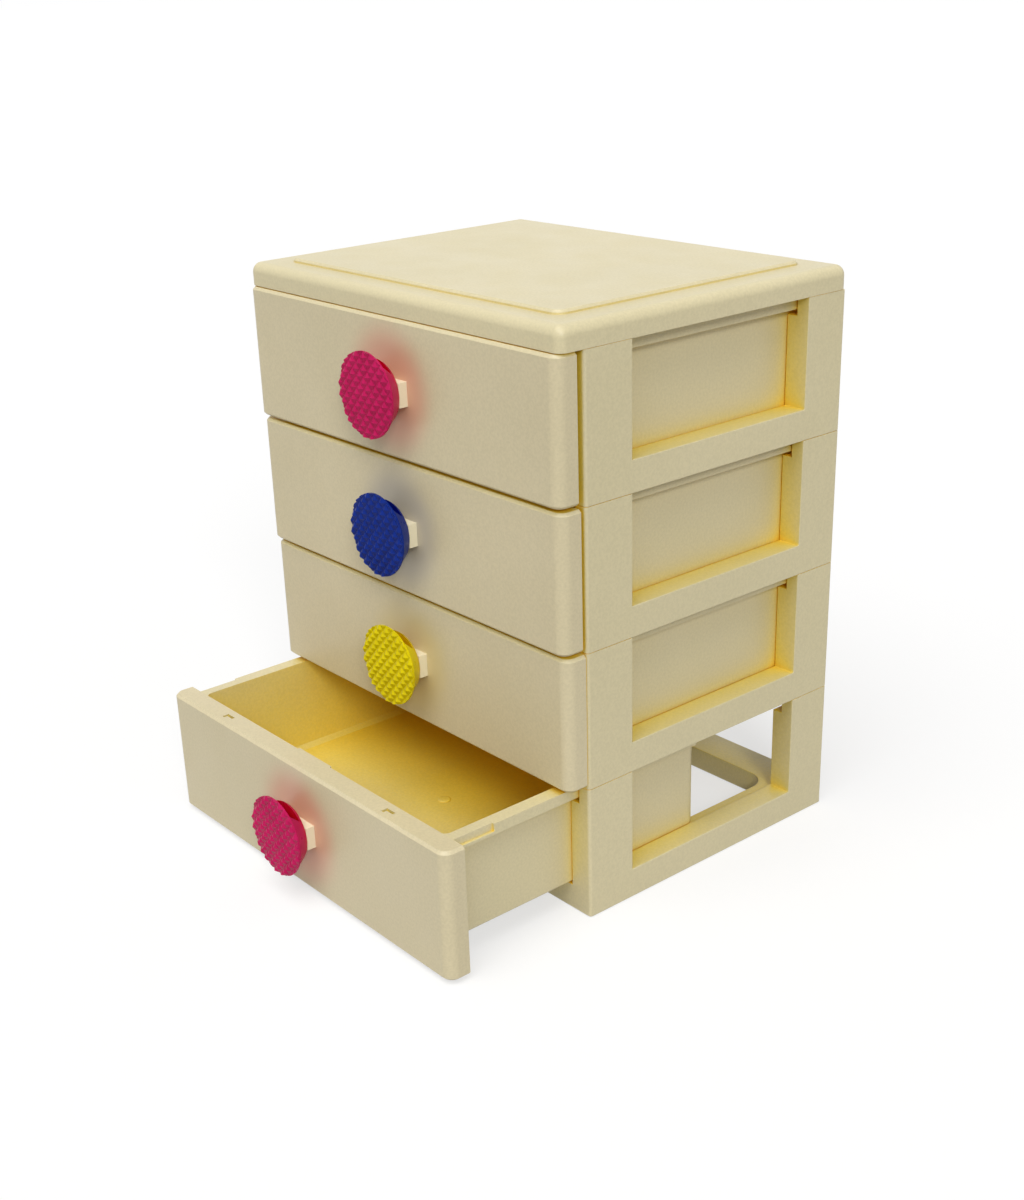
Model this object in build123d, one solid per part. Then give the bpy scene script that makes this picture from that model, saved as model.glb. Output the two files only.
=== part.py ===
from build123d import *
import math
import os

# Desktop unit of four stacked drawer tiers under one cover, in millimetres.
# +X is the unit's right side, -Y its front, +Z up.
# The origin is on the floor under the middle of the post footprint.

# How far each drawer stands out of its closed place, lowest tier first.
REST_OUT = (53.4, 0.0, 1.3, 2.2)

# ---- case ----
TIERS = len(REST_OUT)
PITCH = 50.0  # height of one tier frame
CASE_W = 172.0
CASE_D = 123.0  # front of the front posts to back of the rear posts
POST_T = 9.3  # post and side rail thickness across the case
FRONT_POST = 20.5
REAR_POST = 19.3
SILL_Z = 11.2  # top of the side rails
SHELF_Z = 9.4  # running surface under the drawer
SHELL = 1.8  # moulded wall of a frame
CASE_EDGE_R = 1.2
LEDGE_SIDE = 5.5  # floor left between the posts' inner side and the base hole
LEDGE_END = 15.0  # floor left in front of that hole and behind it
OPENING_R = 8.0
SKIRT_T = 1.8  # wall round that hole
SKIRT_LIFT = 0.6
NOTCH_IN = 4.1  # how far the runner notch reaches into a post
NOTCH_DOWN = 6.8  # notch floor under the frame's top
POST_ROOF = 2.2  # plastic between that floor and the hollow inside a post
PEG_T = 2.0
PEG_L = 8.0
PEG_H = 2.8
PEG_GAP = 0.3  # between a peg and the post wall it locates on

# ---- drawer front ----
FRONT_INSET = 0.4  # its end inside the case's side
FRONT_T = 8.5
FRONT_BOTTOM = 1.1
FRONT_DOWN = 0.3  # its top under the frame's top
FRONT_CORNER_R = 4.2
FRONT_EDGE = 1.0  # chamfer of the rim
FRONT_SKIN = 2.2
FRONT_WALL = 2.0
FRONT_GAP = 0.25  # between a closed front and the posts
RIB_T = 1.4
RIB_STEPS = (-16.5, 11.5)  # places of the ribs beside each clip
RIB_UP = 12.9  # bottom end of a rib over the front's bottom
RIB_DOWN = 3.7  # top end of a rib under the front's top
RIB_GAP = 0.2  # between a rib and the box
CLIP_INSET = 35.1  # clip from the end of the front
CLIP_W = 4.6
CLIP_FRONT = 3.0  # nearer side of its L-shaped opening
CLIP_BACK = 5.6
CLIP_SLIT = 1.25
TONGUE_W = 20.0
TONGUE_T = 0.7
TONGUE_H = 9.0
TONGUE_GAP = 0.1

# ---- cover ----
COVER_H = 8.4
COVER_LIP = 0.95  # overhang in front of a closed drawer front
COVER_BACK = 0.9  # overhang behind the rear posts
COVER_EDGE_R = 3.6
COVER_WALL = 1.8
COVER_TOP_T = 2.6
COVER_RIBS = 3
COVER_RIB_T = 1.6
COVER_RIB_UP = 1.0
PANEL_H = 1.5  # the flat panel stands this far above the rim
PANEL_SIDE = 12.0  # rim beside it
PANEL_END = 10.3  # rim in front of it and behind it
PANEL_R = 4.0
PANEL_EDGE = 0.8  # chamfer of its edge

# ---- tab and knob ----
KNOB_DOWN = 0.4  # knob's middle under the middle of the front
TAB_W = 20.8
TAB_H = 8.6
TAB_UP = 0.3  # tab's middle over the knob's
TAB_OUT = 3.6
KNOB_GAP = 0.1
KNOB_DEPTH = 7.6  # rear plate to tips of the face
KNOB_R = 15.0
KNOB_DISC_T = 2.0
KNOB_DISC_LIP = 0.5  # rim of the disc outside the body
KNOB_TAPER = 3.2  # how much narrower the body is at its rear
KNOB_REAR_T = 1.3
KNOB_REAR_EDGE = 0.5
KNOB_SIDES = 36  # flats round the knob, kept few because it repeats
KNOB_CHEEK = 2.3  # plastic beside the slot at the rear
KNOB_BASE = 4.8  # and under it
GEM_PITCH = 2.24  # between two rows of the diamond face
GEM_H = 0.9
KEY_H = 5.6  # height of the hole that the prongs snap into
KEY_GAP = 0.3  # beside a prong
PRONG_W = 12.0
PRONG_T = 1.2
PRONG_GAP = 0.1
BARB_H = 0.6
BARB_L = 1.0

# ---- drawer box ----
BOX_GAP = 0.3  # to the posts and to the shelf
BOX_SHORT = 7.45  # its back inside the back of the case
BOX_DOWN = 0.7  # its rim under the frame's top
BOX_WALL = 1.5
BOX_FLOOR = 1.8
BOX_CORNER_R = 4.0
BOX_HEEL = 1.2
BOX_IN_R = 3.0
BOX_IN_HEEL = 1.8
BOX_STEP_GAP = 0.2  # between the cut-down front wall and the drawer front
RUNNER_GAP = 0.5  # to the side of the notch
RUNNER_H = 4.1
RUNNER_BACK = 4.0  # its end before the box's back
RUNNER_WALL = 1.2
CUTBACK_IN = 1.1  # narrower lead at the front of the runner
CUTBACK_FOOT = 1.2
CUTBACK_L = 16.5

# ---- places that follow from the sizes ----
INNER_X = CASE_W / 2 - POST_T
NOTCH_X = INNER_X + NOTCH_IN
NOTCH_Z = PITCH - NOTCH_DOWN
FRONT_W = CASE_W - 2 * FRONT_INSET
FRONT_TOP = PITCH - FRONT_DOWN
CLOSED_FACE = -CASE_D / 2 - FRONT_GAP - FRONT_T
KNOB_Z = (FRONT_BOTTOM + FRONT_TOP) / 2 - KNOB_DOWN
NECK_R = KNOB_R - KNOB_DISC_LIP
REAR_R = NECK_R - KNOB_TAPER
KEY_W = PRONG_W + 2 * KEY_GAP
BOX_FRONT = FRONT_T - BOX_WALL
BOX_STEP_Y = FRONT_T + BOX_STEP_GAP


def block(x0, x1, y0, y1, z0, z1):
    """Box between two corners."""
    size = Box(abs(x1 - x0), abs(y1 - y0), abs(z1 - z0))
    return Pos((x0 + x1) / 2, (y0 + y1) / 2, (z0 + z1) / 2) * size


def rounded_block(width, depth, radius, z0, z1):
    """Upright prism with a rounded rectangular outline about the Z axis."""
    outline = RectangleRounded(width, depth, radius)
    return Pos(0, 0, z0) * extrude(outline, z1 - z0)


def post_spans():
    """Low and high y of the front and the rear post."""
    half = CASE_D / 2
    return ((-half, -half + FRONT_POST), (half - REAR_POST, half))


def base_opening():
    """Hole in the base of a frame, and the skirt wall round it as a solid block."""
    width = 2 * (INNER_X - LEDGE_SIDE)
    depth = CASE_D - 2 * LEDGE_END
    opening = rounded_block(width, depth, OPENING_R, -1, PITCH)
    skirt = rounded_block(
        width + 2 * SKIRT_T, depth + 2 * SKIRT_T, OPENING_R + SKIRT_T, SKIRT_LIFT, PITCH
    )
    return opening, skirt


def tier_frame():
    half_w = CASE_W / 2
    half_d = CASE_D / 2
    top = PITCH + 1
    body = rounded_block(CASE_W, CASE_D, CASE_EDGE_R, 0, PITCH)
    body -= block(-INNER_X, INNER_X, -half_d - 1, half_d + 1, SHELF_Z, top)
    window_y0 = post_spans()[0][1]
    window_y1 = post_spans()[1][0]
    body -= block(-half_w - 1, half_w + 1, window_y0, window_y1, SILL_Z, top)
    for side in (-1, 1):
        body -= block(
            side * (INNER_X - 1), side * NOTCH_X, -half_d - 1, half_d + 1, NOTCH_Z, top
        )
    # the base ring is a channel that is open underneath
    opening, skirt = base_opening()
    wall_x = half_w - SHELL
    wall_y = half_d - SHELL
    channel = block(-wall_x, wall_x, -wall_y, wall_y, -1, SHELF_Z - SHELL)
    body -= channel - skirt
    body -= opening
    for side in (-1, 1):
        peg_x0 = side * (wall_x - PEG_GAP - PEG_T)
        peg_x1 = side * (wall_x - PEG_GAP)
        for y0, y1 in post_spans():
            hollow_top = NOTCH_Z - POST_ROOF
            body -= block(
                side * (INNER_X + SHELL), side * wall_x, y0 + SHELL, y1 - SHELL, 0, hollow_top
            )
            mid = (y0 + y1) / 2
            body += block(
                peg_x0, peg_x1, mid - PEG_L / 2, mid + PEG_L / 2, PITCH - 1, PITCH + PEG_H
            )
    return body


def top_cover():
    """Built about its own middle: a rim with a raised panel, ribbed underneath."""
    front = FRONT_T + FRONT_GAP + COVER_LIP
    depth = CASE_D + front + COVER_BACK
    body = block(-CASE_W / 2, CASE_W / 2, -depth / 2, depth / 2, 0, COVER_H)
    corners = body.edges().filter_by(Axis.Z) + body.faces().sort_by(Axis.Z)[-1].edges()
    body = fillet(corners, COVER_EDGE_R)
    panel = rounded_block(
        CASE_W - 2 * PANEL_SIDE, depth - 2 * PANEL_END, PANEL_R, COVER_H - 0.5, COVER_H + PANEL_H
    )
    body += chamfer(panel.faces().sort_by(Axis.Z)[-1].edges(), PANEL_EDGE)
    hollow_w = CASE_W - 2 * COVER_WALL
    hollow_d = depth - 2 * COVER_WALL
    hollow = block(
        -hollow_w / 2, hollow_w / 2, -hollow_d / 2, hollow_d / 2, -1, COVER_H - COVER_TOP_T
    )
    spacing = hollow_w / (COVER_RIBS + 1)
    for i in range(COVER_RIBS):
        x = -hollow_w / 2 + (i + 1) * spacing
        half = COVER_RIB_T / 2
        hollow -= block(x - half, x + half, -depth, depth, COVER_RIB_UP, COVER_H)
    body -= hollow
    return Pos(0, (COVER_BACK - front) / 2, TIERS * PITCH) * body


def clip_opening(x):
    """L-shaped hole over a clip, through the top wall of the drawer front."""
    z0 = FRONT_TOP - RIB_DOWN
    z1 = FRONT_TOP + 1
    x0 = x - CLIP_W / 2
    x1 = x + CLIP_W / 2
    long_leg = block(x0, x1, CLIP_BACK - CLIP_SLIT, CLIP_BACK, z0, z1)
    return long_leg + block(x0, x0 + CLIP_SLIT, CLIP_FRONT, CLIP_BACK, z0, z1)


def knob_mount():
    """Tab on the drawer front's face and the two barbed prongs that hold the knob."""
    tab_z = KNOB_Z + TAB_UP
    body = block(
        -TAB_W / 2, TAB_W / 2, -TAB_OUT, 0.5, tab_z - TAB_H / 2, tab_z + TAB_H / 2
    )
    outer = KEY_H / 2 - PRONG_GAP
    tip = -(TAB_OUT + KNOB_GAP + KNOB_REAR_T + PRONG_GAP + BARB_L)
    half = PRONG_W / 2
    for side in (-1, 1):
        z_in = KNOB_Z + side * (outer - PRONG_T)
        z_out = KNOB_Z + side * outer
        z_barb = KNOB_Z + side * (outer + BARB_H)
        body += block(-half, half, tip, -TAB_OUT + 0.5, z_in, z_out)
        body += block(-half, half, tip, tip + BARB_L, z_in, z_barb)
    return body


def drawer_front():
    """Cap that clips over the box; y = 0 is its face."""
    half = FRONT_W / 2
    body = block(-half, half, 0, FRONT_T, FRONT_BOTTOM, FRONT_TOP)
    face_uprights = body.edges().filter_by(Axis.Z).group_by(Axis.Y)[0]
    body = fillet(face_uprights, FRONT_CORNER_R)
    levels = body.faces().sort_by(Axis.Z)
    rims = [e for f in (levels[0], levels[-1]) for e in f.edges()]
    body = chamfer([e for e in rims if e.center().Y < FRONT_T - 0.1], FRONT_EDGE)
    inner = half - FRONT_WALL
    hollow = block(
        -inner, inner, FRONT_SKIN, FRONT_T + 1, FRONT_BOTTOM + FRONT_WALL, FRONT_TOP - FRONT_WALL
    )
    uprights = hollow.edges().filter_by(Axis.Z).group_by(Axis.Y)[0]
    body -= fillet(uprights, FRONT_CORNER_R - FRONT_WALL)
    for side in (-1, 1):
        clip_x = side * (half - CLIP_INSET)
        for step in RIB_STEPS:
            x = clip_x + side * step
            body += block(
                x - RIB_T / 2,
                x + RIB_T / 2,
                FRONT_SKIN - 0.5,
                BOX_FRONT - RIB_GAP,
                FRONT_BOTTOM + RIB_UP,
                FRONT_TOP - RIB_DOWN,
            )
        body -= clip_opening(clip_x)
    # tongue that reaches over the box's front wall
    tongue_y0 = FRONT_T + TONGUE_GAP
    tongue_y1 = tongue_y0 + TONGUE_T
    reach = TONGUE_W / 2
    body += block(-reach, reach, FRONT_T - 0.5, tongue_y1, FRONT_TOP - FRONT_WALL, FRONT_TOP)
    body += block(-reach, reach, tongue_y0, tongue_y1, FRONT_TOP - TONGUE_H, FRONT_TOP)
    return body + knob_mount()


def runner(side, box_half, box_back, box_top):
    """Hollow flange along one side of the box that rides in the posts' notches."""
    outer = NOTCH_X - RUNNER_GAP
    foot = box_top - RUNNER_H
    end = box_back - RUNNER_BACK
    body = block(side * (box_half - 1), side * outer, BOX_STEP_Y, end, foot, box_top)
    lead_end = BOX_STEP_Y + CUTBACK_L
    body -= block(
        side * (outer - CUTBACK_IN),
        side * (outer + 1),
        BOX_STEP_Y - 1,
        lead_end,
        foot + CUTBACK_FOOT,
        box_top + 1,
    )
    body -= block(
        side * (box_half + RUNNER_WALL),
        side * (outer - RUNNER_WALL),
        lead_end + BOX_WALL,
        end - BOX_WALL,
        foot - 1,
        box_top - BOX_WALL,
    )
    return body


def drawer_box():
    """Open tub with side runners; y is measured from the drawer front's face."""
    half = INNER_X - BOX_GAP
    bottom = SHELF_Z + BOX_GAP
    top = PITCH - BOX_DOWN
    back = FRONT_T + FRONT_GAP + CASE_D - BOX_SHORT
    body = block(-half, half, BOX_FRONT, back, bottom, top)
    body = fillet(body.edges().filter_by(Axis.Z), BOX_CORNER_R)
    body = chamfer(body.faces().sort_by(Axis.Z)[0].edges(), BOX_HEEL)
    for side in (-1, 1):
        body += runner(side, half, back, top)
    inner = half - BOX_WALL
    cavity = block(
        -inner, inner, BOX_FRONT + BOX_WALL, back - BOX_WALL, bottom + BOX_FLOOR, top + 5
    )
    cavity = fillet(cavity.edges().filter_by(Axis.Z), BOX_IN_R)
    cavity = chamfer(cavity.faces().sort_by(Axis.Z)[0].edges(), BOX_IN_HEEL)
    body -= cavity
    # the front wall is cut down so that the drawer front closes over it
    step_z = FRONT_TOP - FRONT_WALL - BOX_STEP_GAP
    body -= block(-half - 1, half + 1, 0, BOX_STEP_Y, step_z, top + 1)
    return body


def gem_ridges(angle):
    """Prism whose top is a row of ridges, running at an angle in the plan."""
    count = int(2 * KNOB_R / GEM_PITCH) + 3
    start = -count * GEM_PITCH / 2
    points = [(start, -5.0)]
    for i in range(count):
        points.append((start + i * GEM_PITCH, KNOB_DEPTH - GEM_H))
        points.append((start + (i + 0.5) * GEM_PITCH, KNOB_DEPTH))
    points.append((start + count * GEM_PITCH, KNOB_DEPTH - GEM_H))
    points.append((start + count * GEM_PITCH, -5.0))
    profile = Plane.XZ * make_face(Polyline(*points, close=True))
    return Rot(0, 0, angle) * extrude(profile, 2 * KNOB_R, both=True)


def flat_ring(radius, z):
    """Corners of a many-sided outline standing in for a circle."""
    turns = [2 * math.pi * i / KNOB_SIDES for i in range(KNOB_SIDES)]
    return [(radius * math.cos(t), radius * math.sin(t), z) for t in turns]


def round_block(radius, z0, z1, top_radius=None):
    """Many-sided stand for a cylinder or, with a top radius, a cone; all its faces are flat."""
    low = flat_ring(radius, z0)
    high = flat_ring(top_radius or radius, z1)
    faces = [Face(Wire.make_polygon(low)), Face(Wire.make_polygon(high))]
    for i in range(KNOB_SIDES):
        j = (i + 1) % KNOB_SIDES
        faces.append(Face(Wire.make_polygon([low[i], low[j], high[j], high[i]])))
    return Solid(Shell(faces))


def knob():
    """Built standing on its rear plate at z = 0, then turned to face -Y."""
    disc_z = KNOB_DEPTH - KNOB_DISC_T
    disc = round_block(KNOB_R, disc_z, KNOB_DEPTH)
    disc = disc & gem_ridges(45) & gem_ridges(-45)
    body = round_block(REAR_R - KNOB_REAR_EDGE, 0, KNOB_REAR_EDGE, REAR_R)
    body += round_block(REAR_R, KNOB_REAR_EDGE, disc_z, NECK_R)
    body += disc
    half = REAR_R - KNOB_CHEEK
    body -= block(-half, half, KNOB_BASE - REAR_R, 2 * KNOB_R, KNOB_REAR_T, disc_z)
    body -= block(-KEY_W / 2, KEY_W / 2, -KEY_H / 2, KEY_H / 2, -1, KNOB_REAR_T + 1)
    return Rot(90, 0, 0) * body


def main():
    os.makedirs("parts", exist_ok=True)
    frame = tier_frame()
    front = drawer_front()
    box = drawer_box()
    handle = knob()
    export_step(top_cover(), "parts/top_cover.step")
    for i in range(TIERS):
        n = i + 1
        z = i * PITCH
        y = CLOSED_FACE - REST_OUT[i]
        export_step(Pos(0, 0, z) * frame, f"parts/tier_frame_{n}.step")
        export_step(Pos(0, y, z) * front, f"parts/drawer_front_{n}.step")
        export_step(Pos(0, y, z) * box, f"parts/drawer_box_{n}.step")
        knob_y = y - TAB_OUT - KNOB_GAP
        export_step(Pos(0, knob_y, z + KNOB_Z) * handle, f"parts/knob_{n}.step")


main()
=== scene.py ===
import math

import bmesh
import bpy
from mathutils import Matrix, Vector


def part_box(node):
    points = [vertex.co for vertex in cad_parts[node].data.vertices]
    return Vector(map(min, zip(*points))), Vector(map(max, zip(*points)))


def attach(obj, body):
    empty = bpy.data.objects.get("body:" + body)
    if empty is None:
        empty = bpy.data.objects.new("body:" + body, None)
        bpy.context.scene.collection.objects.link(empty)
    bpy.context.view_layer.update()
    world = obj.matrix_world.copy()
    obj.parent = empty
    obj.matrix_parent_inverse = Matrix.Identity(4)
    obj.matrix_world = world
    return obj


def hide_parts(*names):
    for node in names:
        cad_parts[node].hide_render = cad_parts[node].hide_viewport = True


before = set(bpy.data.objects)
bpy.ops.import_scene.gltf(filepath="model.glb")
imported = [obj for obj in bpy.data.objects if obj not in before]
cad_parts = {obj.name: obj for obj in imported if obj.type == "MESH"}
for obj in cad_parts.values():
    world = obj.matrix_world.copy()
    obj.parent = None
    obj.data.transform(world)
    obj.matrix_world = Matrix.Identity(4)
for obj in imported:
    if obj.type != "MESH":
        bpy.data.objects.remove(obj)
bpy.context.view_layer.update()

# Lengths are in metres and angles in degrees. Colours are linear shares of red, green and blue.
TIERS = (1, 2, 3, 4)  # the lowest first


# ---------------------------------------------------------------- small helpers
def srgb(r, g, b):
    """8-bit display colour as linear shares."""
    def linear(v):
        v /= 255.0
        return v / 12.92 if v <= 0.04045 else ((v + 0.055) / 1.055) ** 2.4
    return (linear(r), linear(g), linear(b))


def grey(share):
    return (share, share, share)


def tinted(colour, tint):
    return tuple(c * t for c, t in zip(colour, tint))


def middle_of(name):
    """Middle of a CAD node's box."""
    low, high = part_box(name)
    return [(a + b) / 2 for a, b in zip(low, high)]


def add_object(name, data):
    obj = bpy.data.objects.new(name, data)
    bpy.context.scene.collection.objects.link(obj)
    return obj


def add_mesh_object(name, bm, material):
    """Object with the mesh that bm holds, which is freed."""
    mesh = bpy.data.meshes.new(name)
    bm.to_mesh(mesh)
    bm.free()
    mesh.materials.append(material)
    return add_object(name, mesh)


# ---------------------------------------------------------------- camera
CAMERA_PLACE = (0.44310, -0.39023, 0.31069)
CAMERA_AZIMUTH = 51.016
CAMERA_ELEVATION = 23.167
CAMERA_ROLL = 2.140
CAMERA_CLIP = (0.01, 40.0)
SENSOR_WIDTH = 36.0  # millimetres, as is the lens
LENS = 48.794
LENS_SHIFT = (0.0166, 0.0406)  # shares of the sensor


def add_camera():
    """The photograph's view, from a fit to the unit's edges."""
    data = bpy.data.cameras.new("photo_camera")
    data.sensor_fit = "AUTO"
    data.sensor_width = SENSOR_WIDTH
    data.lens = LENS
    data.shift_x, data.shift_y = LENS_SHIFT
    data.clip_start, data.clip_end = CAMERA_CLIP
    cam = add_object("photo_camera", data)
    turn = Matrix.Rotation(math.radians(CAMERA_AZIMUTH), 4, "Z")
    tilt = Matrix.Rotation(math.radians(90.0 - CAMERA_ELEVATION), 4, "X")
    roll = Matrix.Rotation(math.radians(-CAMERA_ROLL), 4, "Z")
    cam.matrix_world = Matrix.Translation(CAMERA_PLACE) @ turn @ tilt @ roll
    bpy.context.scene.camera = cam


# ---------------------------------------------------------------- node graphs
OPENNESS_SAMPLES = 8
MIX_FACTOR, MIX_A, MIX_B = 0, 6, 7  # places of the Mix node's colour inputs
MIX_RESULT = 2


class Graph:
    """Short calls for building the nodes of a material, the world or a geometry group."""

    def __init__(self, tree):
        self.tree = tree
        tree.nodes.clear()

    def add(self, kind, inputs=None, **settings):
        """New node. An input is given another node's output or a plain value."""
        node = self.tree.nodes.new(kind)
        for key, value in settings.items():
            setattr(node, key, value)
        for key, value in (inputs or {}).items():
            socket = node.inputs[key]
            if isinstance(value, bpy.types.NodeSocket):
                self.tree.links.new(value, socket)
            elif socket.type == "RGBA":
                socket.default_value = (*value, 1.0)
            else:
                socket.default_value = value
        return node

    def coords(self, kind="Object"):
        return self.add("ShaderNodeTexCoord").outputs[kind]

    def noise(self, at, scale, detail):
        inputs = {"Vector": at, "Scale": scale, "Detail": detail}
        return self.add("ShaderNodeTexNoise", inputs).outputs["Fac"]

    def openness(self, distance):
        """1 where a surface is open, falling to 0 in gaps and hollows."""
        node = self.add("ShaderNodeAmbientOcclusion", {"Distance": distance}, samples=OPENNESS_SAMPLES)
        return node.outputs["AO"]

    def ramp(self, fac, stops):
        node = self.add("ShaderNodeValToRGB", {"Fac": fac})
        elements = node.color_ramp.elements
        while len(elements) < len(stops):
            elements.new(0.5)
        for element, (place, colour) in zip(elements, stops):
            element.position = place
            element.color = (*colour, 1.0)
        return node.outputs["Color"]

    def remap(self, value, low, high, to_low=0.0, to_high=1.0, kind="LINEAR"):
        inputs = {"Value": value, "From Min": low, "From Max": high, "To Min": to_low, "To Max": to_high}
        return self.add("ShaderNodeMapRange", inputs, interpolation_type=kind).outputs["Result"]

    def drift(self, at, scale, detail, swing, low=0.0, high=1.0):
        """Noise from low to high; swing is how far from its middle it is cut off."""
        return self.remap(self.noise(at, scale, detail), 0.5 - swing, 0.5 + swing, low, high)

    def math(self, operation, a, b):
        return self.add("ShaderNodeMath", {0: a, 1: b}, operation=operation).outputs[0]

    def mix(self, fac, a, b, blend="MIX"):
        """Colour a where fac is 0, and where it is 1 colour b, or a times b."""
        inputs = {MIX_FACTOR: fac, MIX_A: a, MIX_B: b}
        node = self.add("ShaderNodeMix", inputs, data_type="RGBA", blend_type=blend)
        return node.outputs[MIX_RESULT]

    def product(self, a, b, fac=1.0):
        return self.mix(fac, a, b, "MULTIPLY")

    def bump(self, height, strength, distance):
        inputs = {"Height": height, "Strength": strength, "Distance": distance}
        return self.add("ShaderNodeBump", inputs).outputs["Normal"]

    def mix_shaders(self, fac, a, b):
        return self.add("ShaderNodeMixShader", {0: fac, 1: a, 2: b}).outputs[0]

    def plastic(self, colour, roughness, normal, specular):
        """Ends a material with a plastic surface."""
        inputs = {"Base Color": colour, "Roughness": roughness, "Normal": normal}
        shader = self.add("ShaderNodeBsdfPrincipled", inputs)
        shader.inputs["Specular IOR Level"].default_value = specular
        self.add("ShaderNodeOutputMaterial", {"Surface": shader.outputs["BSDF"]})


def new_material(name):
    material = bpy.data.materials.new(name)
    material.use_nodes = True
    return material, Graph(material.node_tree)


# ---------------------------------------------------------------- cream plastic
CREAM = srgb(214, 203, 170)
TAB_PAINTED_LIGHT = srgb(234, 225, 194)  # painted light: a lighter cream on the tab of a front that its knob sits on
CASE_TINT = (1.04, 1.035, 0.96)
COVER_TINT = (1.06, 1.055, 0.98)
BOX_TINT = (1.04, 1.03, 0.93)
FRONT_TINT = (1.01, 0.99, 0.95)

# The cream by openness, with painted shade: a deeper yellow where openness is low; where that is 1, it
# is CREAM times the piece's tint
HOLLOW_SHADE_STOPS = (
    (0.00, srgb(252, 206, 30)),
    (0.12, srgb(246, 210, 56)),
    (0.28, srgb(234, 209, 88)),
    (0.42, srgb(224, 206, 128)),
    (0.60, srgb(219, 205, 154)),
    (0.80, srgb(214, 202, 164)),
)
# Painted shade close to a seam between pieces: what the colour is multiplied by there, by openness
SEAM_SHADE_STOPS = (
    (0.00, (1.0, 0.80, 0.32)),
    (0.40, (1.0, 0.92, 0.66)),
    (0.75, (1.0, 1.0, 1.0)),
)
HOLLOW_SHADE_DEPTH = 0.100  # how far the openness that sets the painted hollow shade looks into a hollow
FRONT_SHADE_DEPTH = 0.006  # the same on a drawer's front, where only narrow gaps get the painted shade
SEAM_SHADE_DEPTH = 0.004  # and next to a seam, for its painted shade
CLOUD_SHADE = (0.955, 0.955, 0.945)  # the darkest of the clouds and of the specks
SPECK_SHADE = (0.93, 0.93, 0.92)

GLOW_NEAR = 0.012  # from the knob's foot; the knob's painted bounce light on the front is full up to here
GLOW_FAR = 0.028  # and gone from here
TAB_OUT = 0.0037  # from the knob's rear to the drawer's face behind it
TAB_SKIRT = 0.0003  # the tab's last stretch before the face, over which the painted bounce light sets in


def cream_with_hollow_shade(g, tint, depth):
    """Cream with painted shade: hollows get a deeper yellow by openness, standing in for light that
    turns yellow as it bounces between the walls.
    """
    return g.ramp(g.openness(depth), HOLLOW_SHADE_STOPS + ((1.00, tinted(CREAM, tint)),))


def mottled(g, at, colour):
    """Slow clouds and fine specks, as moulded plastic has."""
    clouds = g.drift(at, scale=16.0, detail=3.0, swing=0.15)
    colour = g.mix(clouds, g.product(colour, CLOUD_SHADE), colour)
    specks = g.drift(at, scale=1100.0, detail=2.0, swing=0.15)
    return g.mix(specks, g.product(colour, SPECK_SHADE), colour)


def cream_surface(g, at, colour):
    roughness = g.drift(at, scale=70.0, detail=4.0, swing=0.20, low=0.34, high=0.45)
    grain = g.noise(at, scale=1500.0, detail=3.0)
    g.plastic(colour, roughness, g.bump(grain, strength=0.08, distance=0.0003), specular=0.50)


def cream_plastic(name, tint):
    material, g = new_material(name)
    at = g.coords()
    # painted shade: deeper yellow in hollows and darker amber next to seams, by openness
    seam_shade = g.ramp(g.openness(SEAM_SHADE_DEPTH), SEAM_SHADE_STOPS)
    colour = g.product(cream_with_hollow_shade(g, tint, HOLLOW_SHADE_DEPTH), seam_shade)
    cream_surface(g, at, mottled(g, at, colour))
    return material


def front_plastic(name, foot, glow):
    """Cream with painted bounce light, the knob's colour thrown softly on the face around it; foot is
    the knob's place on it.
    """
    material, g = new_material(name)
    at = g.coords()
    away = g.add("ShaderNodeVectorMath", {0: at, 1: foot}, operation="DISTANCE").outputs["Value"]
    near = g.remap(away, GLOW_FAR, GLOW_NEAR, kind="SMOOTHERSTEP")
    plain = mottled(g, at, cream_with_hollow_shade(g, FRONT_TINT, FRONT_SHADE_DEPTH))
    # the knob's own gap to the face isn't given the painted hollow shade
    bare = g.mix(near, plain, tinted(CREAM, FRONT_TINT))
    # painted bounce light: the knob's colour multiplied into the cream near it
    painted_glow = g.product(bare, glow, near)
    # painted light: near the knob the tab is lighter than the rest of the front
    painted_light_tab = g.mix(near, plain, TAB_PAINTED_LIGHT)
    y = g.add("ShaderNodeSeparateXYZ", {0: at}).outputs["Y"]
    on_face = g.remap(y, foot.y - TAB_SKIRT, foot.y)
    cream_surface(g, at, g.mix(on_face, painted_light_tab, painted_glow))
    return material


# ---------------------------------------------------------------- knob plastic
KNOB_SHADE_DEPTH = 0.008  # how far the openness for the painted shade looks into the cuts
CUT_SHADE_BELOW = 0.25  # openness up to which a knob has its full painted shade colour
OPEN_ABOVE = 0.75  # and from which it has none of it
# the first two tones of a knob differ at random; the third is painted shade for its cuts and grooves
KNOB_TONES = {
    "knob_pink": {"light": srgb(188, 22, 88), "dark": srgb(174, 15, 78), "cut_shade": srgb(206, 2, 14)},
    "knob_blue": {"light": srgb(6, 40, 128), "dark": srgb(4, 34, 114), "cut_shade": srgb(1, 8, 112)},
    "knob_yellow": {"light": srgb(214, 196, 3), "dark": srgb(202, 184, 2), "cut_shade": srgb(210, 158, 0)},
}
# Painted bounce light: the colour a knob throws on the front behind it, multiplied into the cream
PAINTED_KNOB_GLOWS = {
    "knob_pink": (0.98, 0.68, 0.68),
    "knob_blue": (0.78, 0.80, 0.94),
    "knob_yellow": (0.98, 0.95, 0.80),
}
KNOB_SLOTS = {1: "knob_pink", 2: "knob_yellow", 3: "knob_blue", 4: "knob_pink"}


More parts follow.
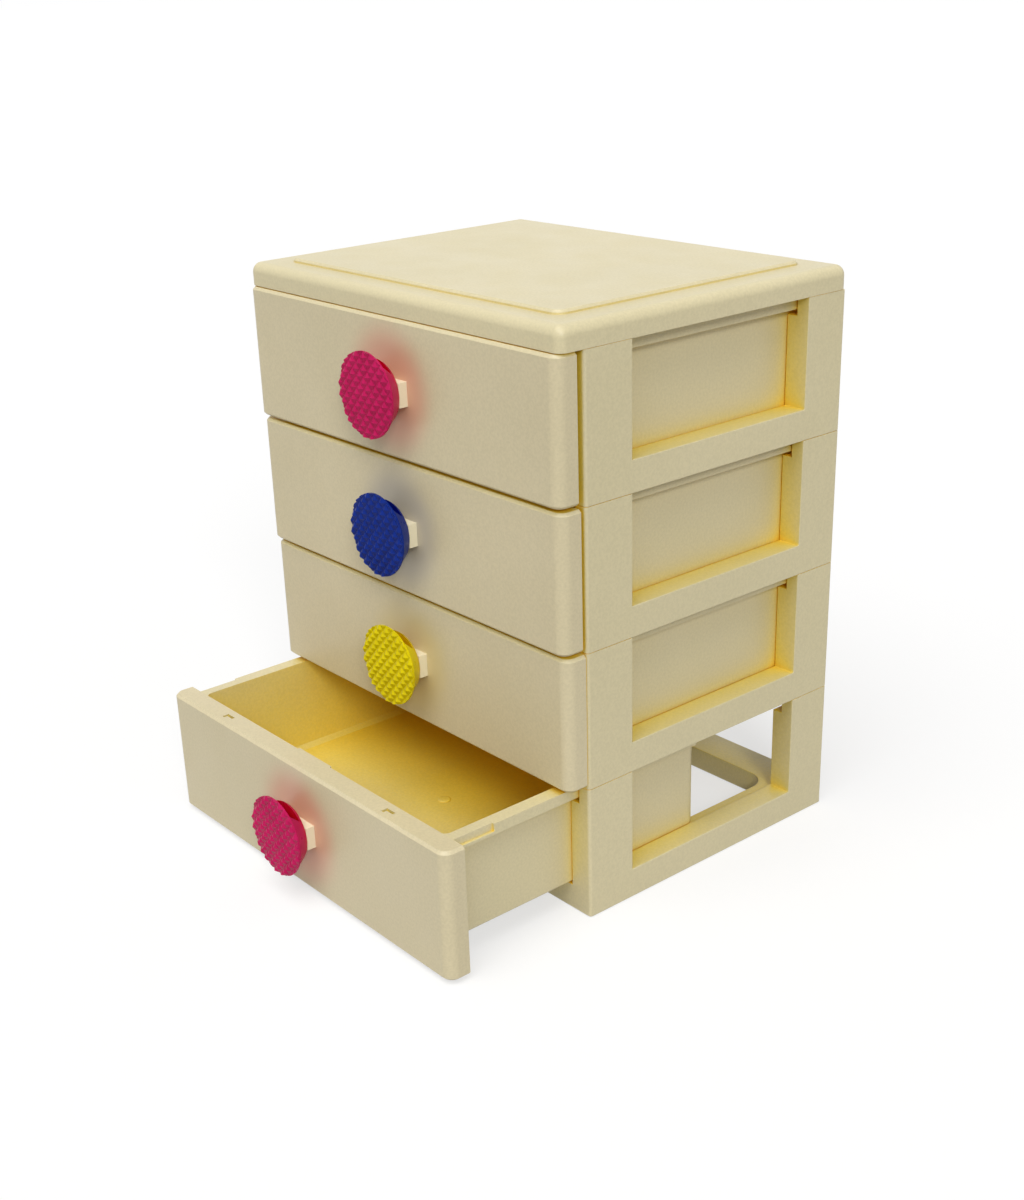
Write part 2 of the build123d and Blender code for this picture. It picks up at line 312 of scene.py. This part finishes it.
def knob_plastic(name, light, dark, cut_shade):
    """Glossier, deeply dyed plastic of the knobs, with painted shade: a deeper colour in the cuts by
    openness.
    """
    material, g = new_material(name)
    at = g.coords()
    colour = g.mix(g.drift(at, scale=110.0, detail=3.0, swing=0.20), dark, light)
    # painted shade: a deeper colour in the cuts and between the diamonds, by openness
    colour = g.mix(g.remap(g.openness(KNOB_SHADE_DEPTH), CUT_SHADE_BELOW, OPEN_ABOVE), cut_shade, colour)
    roughness = g.drift(at, scale=260.0, detail=3.0, swing=0.20, low=0.26, high=0.36)
    grain = g.noise(at, scale=2400.0, detail=2.0)
    g.plastic(colour, roughness, g.bump(grain, strength=0.05, distance=0.0002), specular=0.15)
    return material


# ---------------------------------------------------------------- edge softening
WELD_GAP = 2e-6  # corners nearer than this are one
FLAT_ANGLE = 0.3  # faces that meet at less than this become one
BEVEL_ANGLE = 30.0  # edges that turn by more are rounded
SHARP_ANGLE = 35.0  # and those that still turn by more than this stay sharp
FACE_WEIGHT = 100  # a small face takes its normals from the large ones beside it
COVER_EDGE = 0.00030
FRAME_EDGE = 0.00035
BOX_EDGE = 0.00030
FRONT_EDGE = 0.00040
FRONT_SEGMENTS = 3
KNOB_EDGE = 0.00010


def node_group(name, build):
    """Geometry group, with between its ends what build adds."""
    tree = bpy.data.node_groups.new(name, "GeometryNodeTree")
    for way in ("INPUT", "OUTPUT"):
        tree.interface.new_socket("Geometry", in_out=way, socket_type="NodeSocketGeometry")
    g = Graph(tree)
    start = g.add("NodeGroupInput")
    g.add("NodeGroupOutput", {0: build(g, start.outputs[0])})
    return tree


def build_weld(g, geometry):
    """Joins the split corners of the imported mesh and drops its stored normals."""
    inputs = {"Geometry": geometry, "Name": "custom_normal"}
    drop = g.add("GeometryNodeRemoveAttribute", inputs)
    inputs = {"Geometry": drop.outputs[0], "Distance": WELD_GAP}
    return g.add("GeometryNodeMergeByDistance", inputs).outputs[0]


def build_smooth(g, geometry):
    """Smooth shading that stays sharp past SHARP_ANGLE."""
    inputs = {"Geometry": geometry, "Shade Smooth": True}
    smooth = g.add("GeometryNodeSetShadeSmooth", inputs, domain="FACE")
    angle = g.add("GeometryNodeInputMeshEdgeAngle").outputs["Unsigned Angle"]
    inputs = {0: angle, 1: math.radians(SHARP_ANGLE)}
    over = g.add("FunctionNodeCompare", inputs, data_type="FLOAT", operation="GREATER_THAN")
    inputs = {"Geometry": smooth.outputs[0], "Selection": over.outputs[0], "Shade Smooth": False}
    return g.add("GeometryNodeSetShadeSmooth", inputs, domain="EDGE").outputs[0]


WELD = node_group("weld_corners", build_weld)
SMOOTH = node_group("smooth_by_angle", build_smooth)


def soften(obj, width, segments=2):
    """Rounds an object's edges with modifiers; its own mesh stays as it is."""
    weld = obj.modifiers.new("weld", "NODES")
    weld.node_group = WELD
    flat = obj.modifiers.new("flat", "DECIMATE")
    flat.decimate_type = "DISSOLVE"
    flat.angle_limit = math.radians(FLAT_ANGLE)
    bevel = obj.modifiers.new("edge", "BEVEL")
    bevel.width = width
    bevel.segments = segments
    bevel.limit_method = "ANGLE"
    bevel.angle_limit = math.radians(BEVEL_ANGLE)
    bevel.use_clamp_overlap = True
    bevel.miter_outer = "MITER_SHARP"
    bevel.loop_slide = False
    smooth = obj.modifiers.new("smooth", "NODES")
    smooth.node_group = SMOOTH
    even = obj.modifiers.new("even", "WEIGHTED_NORMAL")
    even.mode = "FACE_AREA"
    even.weight = FACE_WEIGHT
    even.keep_sharp = True


def dress(obj, material):
    """Gives every face of a CAD node one material through the object's slots."""
    if not obj.material_slots:
        obj.data.materials.append(None)
    for slot in obj.material_slots:
        slot.link = "OBJECT"
        slot.material = material


# ---------------------------------------------------------------- knob
DIAMOND = 0.00305  # between two rows of the cut face
DIAMOND_H = 0.0010  # from the grooves to the tips
DISC_T = 0.0020  # from the middle tip to the disc's rear
DISC_SIDES = 120
DOME = 0.0006  # how far the rim lies behind the middle of the face
CUT_SNAP = 1e-7  # a cut this near to a point goes through it
FACE_SNAP = 1e-5  # play in telling the CAD disc's faces by their depth
DIAGONAL = math.sqrt(0.5)  # x and z of a unit step along a diagonal


def ridge(t):
    """1 on a row's crest, 0 in the grooves beside it."""
    return abs((t / DIAMOND) % 1.0 * 2.0 - 1.0)


def face_depth(x, z, radius):
    """How far the cut face lies behind its middle tip: low pyramids on a slight dome."""
    rows = min(ridge((x + z) / math.sqrt(2)), ridge((x - z) / math.sqrt(2)))
    return DIAMOND_H * (1.0 - rows) + DOME * (x * x + z * z) / radius**2


def cut_lines(radius):
    """The face's creases, as a direction across each and its distance from the middle.

    Grooves run along both diagonals, and the pyramids' edges along x and z, from tip to tip.
    """
    step = DIAMOND * DIAGONAL
    count = math.ceil(radius / step)
    for k in range(-count, count + 1):
        groove = (k + 0.5) * DIAMOND
        edge = k * step
        yield (DIAGONAL, 0, DIAGONAL), groove
        yield (DIAGONAL, 0, -DIAGONAL), groove
        yield (1, 0, 0), edge
        yield (0, 0, 1), edge


def cut_disc(radius):
    """Closed disc about the origin: its tip at y = 0, its flat rear at y = DISC_T."""
    bm = bmesh.new()
    ring = []
    for k in range(DISC_SIDES):
        turn = 2 * math.pi * k / DISC_SIDES
        ring.append(bm.verts.new((radius * math.cos(turn), 0.0, radius * math.sin(turn))))
    bm.faces.new(ring)
    for across, far in cut_lines(radius):
        if abs(far) < radius:
            geom = list(bm.verts) + list(bm.edges) + list(bm.faces)
            place = Vector(across) * far
            bmesh.ops.bisect_plane(bm, geom=geom, plane_co=place, plane_no=across, dist=CUT_SNAP)
    for v in bm.verts:
        v.co.y = face_depth(v.co.x, v.co.z, radius)
    rim = [e for e in bm.edges if e.is_boundary]
    for made in bmesh.ops.extrude_edge_only(bm, edges=rim)["geom"]:
        if isinstance(made, bmesh.types.BMVert):
            made.co.y = DISC_T
    bmesh.ops.holes_fill(bm, edges=[e for e in bm.edges if e.is_boundary], sides=0)
    bmesh.ops.recalc_face_normals(bm, faces=bm.faces)
    return bm


def knob_piece(n, material):
    """The CAD knob's own body behind a rounder disc, with the diamonds at their true width."""
    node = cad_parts[f"knob_{n}"]
    low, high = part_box(f"knob_{n}")
    middle = middle_of(f"knob_{n}")
    bm = bmesh.new()
    bm.from_mesh(node.data)
    bm.transform(node.matrix_world)
    limit = low[1] + DISC_T + FACE_SNAP
    front = [f for f in bm.faces if f.calc_center_median().y < limit]
    bmesh.ops.delete(bm, geom=front, context="FACES")
    disc = cut_disc((high[0] - low[0]) / 2)
    disc.transform(Matrix.Translation((middle[0], low[1], middle[2])))
    disc_mesh = bpy.data.meshes.new(f"knob_disc_{n}")
    disc.to_mesh(disc_mesh)
    disc.free()
    bm.from_mesh(disc_mesh)
    bpy.data.meshes.remove(disc_mesh)
    knob = add_mesh_object(f"knob_cut_{n}", bm, material)
    soften(knob, KNOB_EDGE)
    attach(knob, f"drawer_{n}")
    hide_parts(f"knob_{n}")


# ---------------------------------------------------------------- gate mark
MARK_RADIUS = 0.0026
MARK_HEIGHT = 0.0005
MARK_RINGS = 5
MARK_SIDES = 40
TUB_FLOOR = 0.0018  # the tub's floor over the underside of its box


def gate_mark(n, material):
    """Low round pip that the mould's gate leaves in the middle of the tub's floor."""
    low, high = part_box(f"drawer_box_{n}")
    middle = middle_of(f"drawer_box_{n}")
    foot = Vector((middle[0], middle[1], low[2] + TUB_FLOOR))
    bm = bmesh.new()
    rings = []
    for i in range(MARK_RINGS):
        slant = math.pi / 2 * i / MARK_RINGS
        radius = MARK_RADIUS * math.sqrt(math.cos(slant))
        height = MARK_HEIGHT * math.sin(slant)
        ring = []
        for k in range(MARK_SIDES):
            turn = 2 * math.pi * k / MARK_SIDES
            place = Vector((radius * math.cos(turn), radius * math.sin(turn), height))
            ring.append(bm.verts.new(foot + place))
        rings.append(ring)
    for below, above in zip(rings, rings[1:]):
        for k in range(MARK_SIDES):
            j = (k + 1) % MARK_SIDES
            bm.faces.new((below[k], below[j], above[j], above[k]))
    top = bm.verts.new(foot + Vector((0, 0, MARK_HEIGHT)))
    for k in range(MARK_SIDES):
        bm.faces.new((rings[-1][k], rings[-1][(k + 1) % MARK_SIDES], top))
    bm.faces.new(list(reversed(rings[0])))
    for face in bm.faces:
        face.smooth = True
    mark = add_mesh_object(f"gate_mark_{n}", bm, material)
    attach(mark, f"drawer_{n}")


# ---------------------------------------------------------------- studio
FLOOR_REACH = 15.0
FLOOR_DROP = 0.0002  # keeps the floor off the unit's underside
FLOOR_DARK = 0.45  # the floor as it lights the unit
FLOOR_LIGHT = 0.47
FLOOR_SEEN = 0.95  # and as the camera sees it
FLOOR_WHITE = 0.60  # share of plain white in what the camera sees
HORIZON = 0.01  # half the height of the band in which the world's light sets in
FILL_STRENGTH = 0.35
FILL_COLOUR = (1.0, 0.99, 0.97)
WHITE = (1.0, 1.0, 1.0)
# place gives a light's direction alone; spread is how wide it is in the sky
LIGHTS = (
    {"name": "key_light", "place": (0.757, -0.437, 0.520), "strength": 1.20, "spread": 16.0},
    {"name": "top_light", "place": (0.14, -0.42, 1.0), "strength": 1.80, "spread": 50.0},
)


def white_rays(g):
    """1 for rays from the camera, a mirror or a clear piece."""
    path = g.add("ShaderNodeLightPath").outputs
    last = path["Is Camera Ray"]
    for name in ("Is Glossy Ray", "Is Transmission Ray"):
        last = g.math("MAXIMUM", last, path[name])
    return last


def floor_material():
    """Pale floor that keeps the shadow; the camera sees it near white."""
    material, g = new_material("studio_floor")
    tone = g.drift(g.coords(), scale=1.5, detail=2.0, swing=0.20)
    painted_glow = g.mix(tone, grey(FLOOR_DARK), grey(FLOOR_LIGHT))
    white = white_rays(g)
    colour = g.mix(white, painted_glow, grey(FLOOR_SEEN))
    diffuse = g.add("ShaderNodeBsdfDiffuse", {"Color": colour}).outputs["BSDF"]
    glow = g.add("ShaderNodeEmission", {"Color": WHITE, "Strength": 1.0}).outputs["Emission"]
    seen = g.math("MULTIPLY", white, FLOOR_WHITE)
    g.add("ShaderNodeOutputMaterial", {"Surface": g.mix_shaders(seen, diffuse, glow)})
    return material


def add_floor():
    bm = bmesh.new()
    bmesh.ops.create_grid(bm, x_segments=1, y_segments=1, size=FLOOR_REACH)
    floor = add_mesh_object("floor", bm, floor_material())
    floor.location.z = -FLOOR_DROP
    # the openness that the plastic's painted shade follows then counts walls, and not the floor
    floor.visible_shadow = False


def add_sun(name, place, strength, spread):
    """Even light from far away."""
    data = bpy.data.lights.new(name, "SUN")
    data.energy = strength
    data.angle = math.radians(spread)
    lamp = add_object(name, data)
    lamp.location = place
    lamp.rotation_euler = (-Vector(place)).to_track_quat("-Z", "Y").to_euler()


def add_world():
    """Even fill from above the floor's level, and white where the camera looks past it."""
    world = bpy.data.worlds.new("studio")
    world.use_nodes = True
    g = Graph(world.node_tree)
    rise = g.add("ShaderNodeSeparateXYZ", {0: g.coords("Generated")}).outputs["Z"]
    strength = g.remap(rise, -HORIZON, HORIZON, 0.0, FILL_STRENGTH)
    fill = g.add("ShaderNodeBackground", {"Color": FILL_COLOUR, "Strength": strength}).outputs[0]
    white = g.add("ShaderNodeBackground", {"Color": WHITE, "Strength": 1.0}).outputs[0]
    g.add("ShaderNodeOutputWorld", {"Surface": g.mix_shaders(white_rays(g), fill, white)})
    bpy.context.scene.world = world


# ---------------------------------------------------------------- the unit
def dress_front(n, glow):
    """A front's material has its own knob's place on it, in the front's own coordinates."""
    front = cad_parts[f"drawer_front_{n}"]
    low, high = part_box(f"knob_{n}")
    middle = middle_of(f"knob_{n}")
    foot = front.matrix_world.inverted() @ Vector((middle[0], high[1] + TAB_OUT, middle[2]))
    dress(front, front_plastic(f"cream_front_{n}", foot, glow))
    soften(front, FRONT_EDGE, FRONT_SEGMENTS)


def dress_unit():
    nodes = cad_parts
    case = cream_plastic("cream_case", CASE_TINT)
    cover = cream_plastic("cream_cover", COVER_TINT)
    box = cream_plastic("cream_drawer", BOX_TINT)
    knobs = {name: knob_plastic(name, **tones) for name, tones in KNOB_TONES.items()}
    dress(nodes["top_cover"], cover)
    soften(nodes["top_cover"], COVER_EDGE)
    for n in TIERS:
        slot_name = KNOB_SLOTS[n]
        dress(nodes[f"tier_frame_{n}"], case)
        soften(nodes[f"tier_frame_{n}"], FRAME_EDGE)
        dress(nodes[f"drawer_box_{n}"], box)
        soften(nodes[f"drawer_box_{n}"], BOX_EDGE)
        dress_front(n, PAINTED_KNOB_GLOWS[slot_name])
        dress(nodes[f"knob_{n}"], knobs[slot_name])
        knob_piece(n, knobs[slot_name])
        gate_mark(n, box)


def main():
    bpy.context.scene.view_settings.view_transform = "Standard"
    add_camera()
    add_floor()
    add_world()
    for light in LIGHTS:
        add_sun(**light)
    dress_unit()


main()
